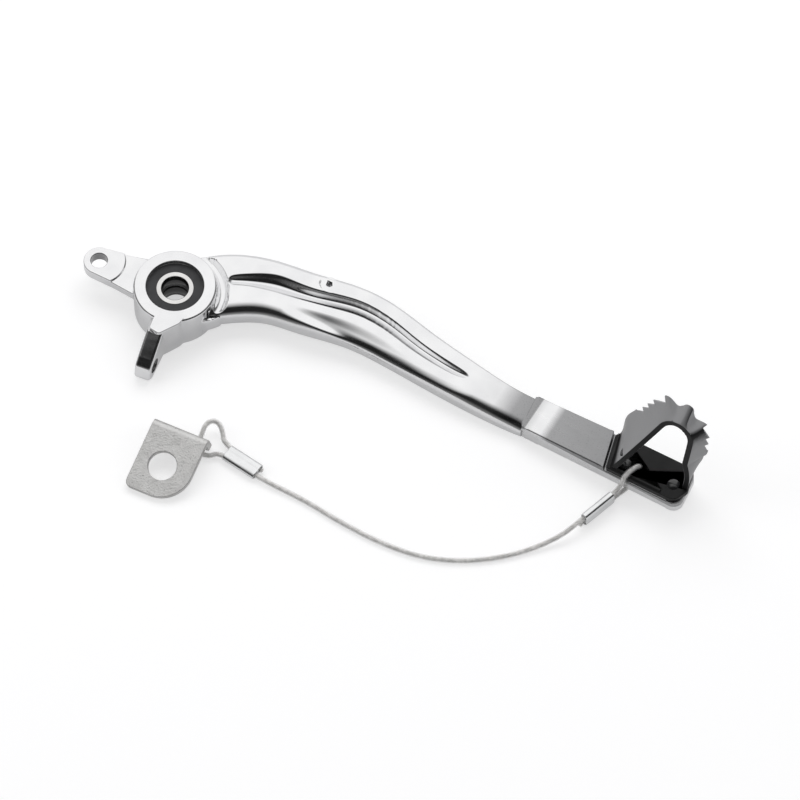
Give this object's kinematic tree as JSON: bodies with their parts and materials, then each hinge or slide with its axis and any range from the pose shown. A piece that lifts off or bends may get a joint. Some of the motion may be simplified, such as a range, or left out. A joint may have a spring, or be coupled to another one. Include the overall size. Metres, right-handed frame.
{
  "type": "motorcycle brake pedal",
  "caption": "Forged rear brake pedal with sealed pivot bearings, toothed steel toe tip and a wire safety cable ending in a bent anchor lug.",
  "frame": {"origin": "on the pivot axis, at the back face of the bearing pair", "axes": "+Z along the pivot axis away from the motorcycle, +X from the pivot towards the toe tip, +Y upwards on the motorcycle"},
  "size_m": [0.2755, 0.1535, 0.0579],
  "materials": {
    "polished_aluminium": "polished",
    "bearing_steel": "ground",
    "cage_steel": "satin",
    "seal_rubber": "matte",
    "black_steel": "satin black",
    "black_rivet": "gloss black",
    "wire_rope": "clear coated",
    "ferrule_metal": "satin",
    "bracket_steel": "bead blasted"
  },
  "bodies": {
    "pedal": {"pedal_arm": "polished_aluminium", "lower_bearing_outer_ring": "bearing_steel", "lower_bearing_rear_seal": "bearing_steel", "lower_bearing_front_seal": "bearing_steel", "upper_bearing_outer_ring": "bearing_steel", "upper_bearing_rear_seal": "bearing_steel", "upper_bearing_front_seal": "bearing_steel", "bearing_circlip": "bearing_steel", "toe_tip": "black_steel", "rear_tip_rivet": "black_rivet", "front_tip_rivet": "black_rivet", "safety_cable": "wire_rope", "front_ferrule": "ferrule_metal", "rear_ferrule": "ferrule_metal", "anchor_bracket": "bracket_steel"},
    "lower_inner": {"lower_bearing_inner_ring": "bearing_steel"},
    "lower_cage": {"lower_bearing_balls": "bearing_steel", "lower_bearing_cage": "bearing_steel"},
    "upper_inner": {"upper_bearing_inner_ring": "bearing_steel"},
    "upper_cage": {"upper_bearing_balls": "bearing_steel", "upper_bearing_cage": "bearing_steel"}
  },
  "joints": [
    {"name": "lower_bearing_spin", "type": "hinge", "parent": "pedal", "child": "lower_inner", "pos_m": [0, 0, 0.004], "axis": [0, 0, 1], "continuous": true},
    {"name": "lower_cage_turn", "type": "hinge", "parent": "pedal", "child": "lower_cage", "pos_m": [0, 0, 0.004], "axis": [0, 0, 1], "continuous": true},
    {"name": "upper_bearing_spin", "type": "hinge", "parent": "pedal", "child": "upper_inner", "pos_m": [0, 0, 0.012], "axis": [0, 0, 1], "continuous": true},
    {"name": "upper_cage_turn", "type": "hinge", "parent": "pedal", "child": "upper_cage", "pos_m": [0, 0, 0.012], "axis": [0, 0, 1], "continuous": true}
  ],
  "couplings": [
    {"joint": "lower_cage_turn", "follows": "lower_bearing_spin", "ratio": 0.39},
    {"joint": "upper_cage_turn", "follows": "upper_bearing_spin", "ratio": 0.39}
  ]
}
